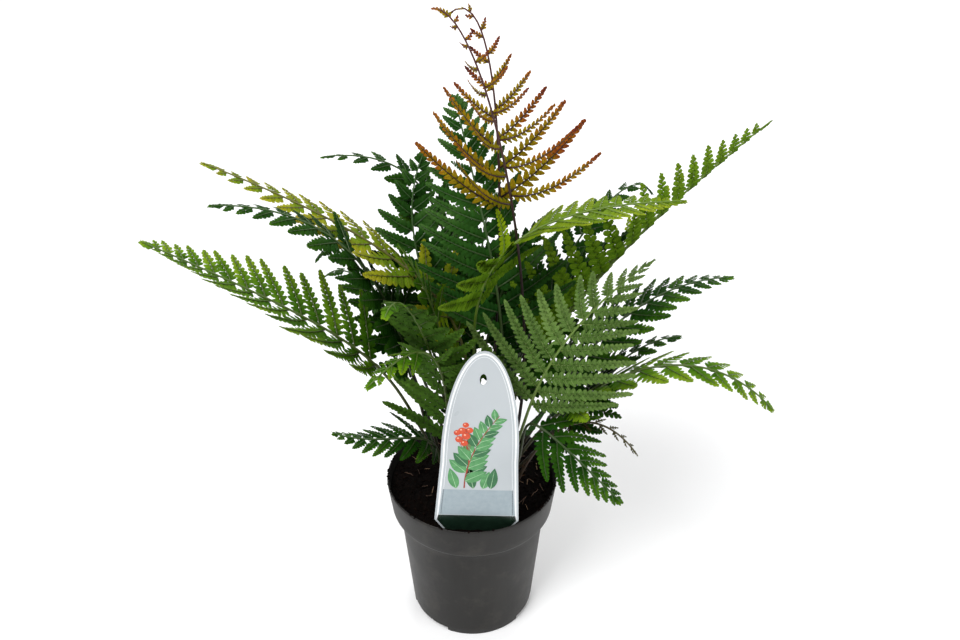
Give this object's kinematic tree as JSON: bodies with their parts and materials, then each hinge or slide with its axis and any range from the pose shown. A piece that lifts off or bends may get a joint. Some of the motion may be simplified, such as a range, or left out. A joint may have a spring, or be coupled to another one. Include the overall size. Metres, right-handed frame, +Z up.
{
  "type": "potted fern",
  "caption": "Feathery clump fern with arching green fronds and upright orange-red young fronds, growing in a round, tapered dark plastic nursery pot with an arched plant tag.",
  "frame": {"origin": "middle of the pot's flat base, on the surface it stands on", "axes": "+Z up out of the pot, -Y towards the side where the tag stands, +X to the right of someone who faces the tag"},
  "size_m": [0.3823, 0.2204, 0.4343],
  "materials": {
    "pot_plastic": "satin",
    "peat": "matte",
    "tag_plastic": "satin",
    "leaf_red": "satin",
    "leaf_pale": "satin",
    "leaf_bright": "satin",
    "leaf_bluish": "satin",
    "leaf_mid": "satin",
    "leaf_olive": "satin",
    "leaf_dark": "satin",
    "leaf_withered": "satin"
  },
  "bodies": {
    "root": {"pot": "pot_plastic", "soil": "peat", "label": "tag_plastic", "frond_red_front": "leaf_red", "frond_red_back": "leaf_red", "frond_right_pale": "leaf_pale", "frond_right_bright": "leaf_bright", "frond_bluish_tall": "leaf_bluish", "frond_bluish_left": "leaf_bluish", "frond_left_long": "leaf_mid", "frond_upper_left_olive": "leaf_olive", "frond_upper_left_green": "leaf_dark", "frond_back_left": "leaf_dark", "frond_right_arching": "leaf_bright", "frond_right_dark": "leaf_dark", "frond_right_low": "leaf_mid", "frond_right_lower_dark": "leaf_dark", "frond_front_right_droop": "leaf_dark", "frond_front_left": "leaf_mid", "frond_front_middle": "leaf_mid", "frond_left_dark": "leaf_dark", "frond_left_low": "leaf_dark", "frond_back_right": "leaf_dark", "frond_back_middle": "leaf_dark", "frond_right_inner": "leaf_dark", "frond_centre_back": "leaf_dark", "frond_centre_left": "leaf_mid", "frond_back_left_low": "leaf_dark", "frond_back_right_low": "leaf_dark", "frond_withered": "leaf_withered"}
  },
  "joints": []
}
